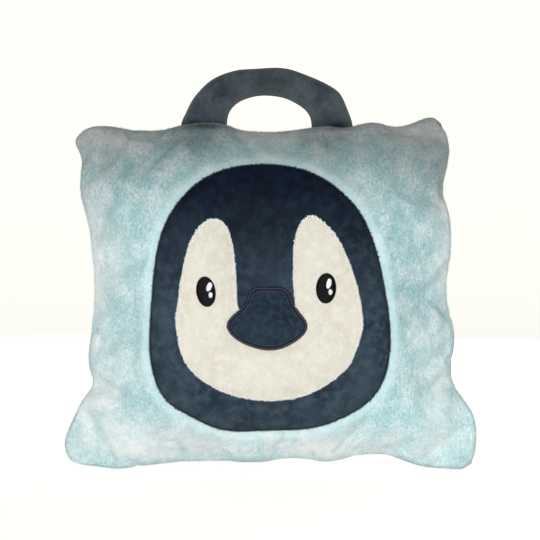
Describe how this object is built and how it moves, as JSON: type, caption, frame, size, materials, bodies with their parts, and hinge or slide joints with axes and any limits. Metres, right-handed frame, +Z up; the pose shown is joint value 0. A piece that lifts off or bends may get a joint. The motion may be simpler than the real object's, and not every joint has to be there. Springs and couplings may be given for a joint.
{
  "type": "plush penguin cushion with carrying handle",
  "caption": "Square stuffed plush cushion with an appliqued penguin face, a padded carrying handle sewn into the top seam and a zipped back.",
  "frame": {"origin": "on the surface the cushion stands on, under the middle of the cushion", "axes": "+Z up, the face looks along -Y, +X to the right seen from the front"},
  "size_m": [0.3624, 0.1107, 0.3544],
  "materials": {
    "aqua_plush": "short soft pile",
    "charcoal_velour": "velour",
    "cream_fleece": "short fleece",
    "beak_velour": "velour",
    "charcoal_plush": "short soft pile",
    "dark_thread": "satin thread",
    "grey_thread": "satin thread",
    "cream_thread": "satin thread",
    "black_thread": "satin thread",
    "white_thread": "satin thread",
    "white_liner": "plain woven",
    "polyester_fibre": "loose fibre",
    "grey_tape": "woven tape",
    "grey_coil": "satin",
    "grey_metal": "satin paint"
  },
  "bodies": {
    "cushion": {"front_panel": "aqua_plush", "back_panel_upper": "aqua_plush", "back_panel_lower": "aqua_plush", "inner_case_front": "white_liner", "inner_case_back": "white_liner", "fibre_filling": "polyester_fibre", "head_applique": "charcoal_velour", "head_edge_stitching": "dark_thread", "face_applique": "cream_fleece", "face_edge_stitching": "cream_thread", "beak_applique": "beak_velour", "beak_border_stitching": "dark_thread", "beak_inner_stitching": "grey_thread", "left_eye": "black_thread", "left_eye_upper_highlight": "white_thread", "left_eye_lower_highlight": "white_thread", "right_eye": "black_thread", "right_eye_upper_highlight": "white_thread", "right_eye_lower_highlight": "white_thread", "handle_left_tab": "charcoal_plush", "handle_right_tab": "charcoal_plush", "zip_tape_upper": "grey_tape", "zip_tape_lower": "grey_tape", "zip_coil_upper": "grey_coil", "zip_coil_lower": "grey_coil", "zip_shut_stop": "grey_metal", "zip_open_stop": "grey_metal"},
    "handle": {"handle_padding": "polyester_fibre", "handle_front_cover": "charcoal_plush", "handle_back_cover": "charcoal_plush"},
    "zip_slider": {"zip_slider": "grey_metal"},
    "zip_pull": {"zip_pull": "grey_metal"}
  },
  "joints": [
    {"name": "handle_fold", "type": "hinge", "parent": "cushion", "child": "handle", "pos_m": [0, 0, 0.3046], "axis": [1, 0, 0], "range_deg": [-85, 85], "stiffness_Nm_per_rad": 0.12},
    {"name": "slider_travel", "type": "hinge", "parent": "cushion", "child": "zip_slider", "pos_m": [0, -0.42896, 0.08], "axis": [0, 0, -1], "range_deg": [0, 26.1]},
    {"name": "pull_swing", "type": "hinge", "parent": "zip_slider", "child": "zip_pull", "pos_m": [-0.10838, 0.036, 0.07972], "axis": [-0.0377, 0.1619, 0.9861], "range_deg": [0, 170]}
  ]
}
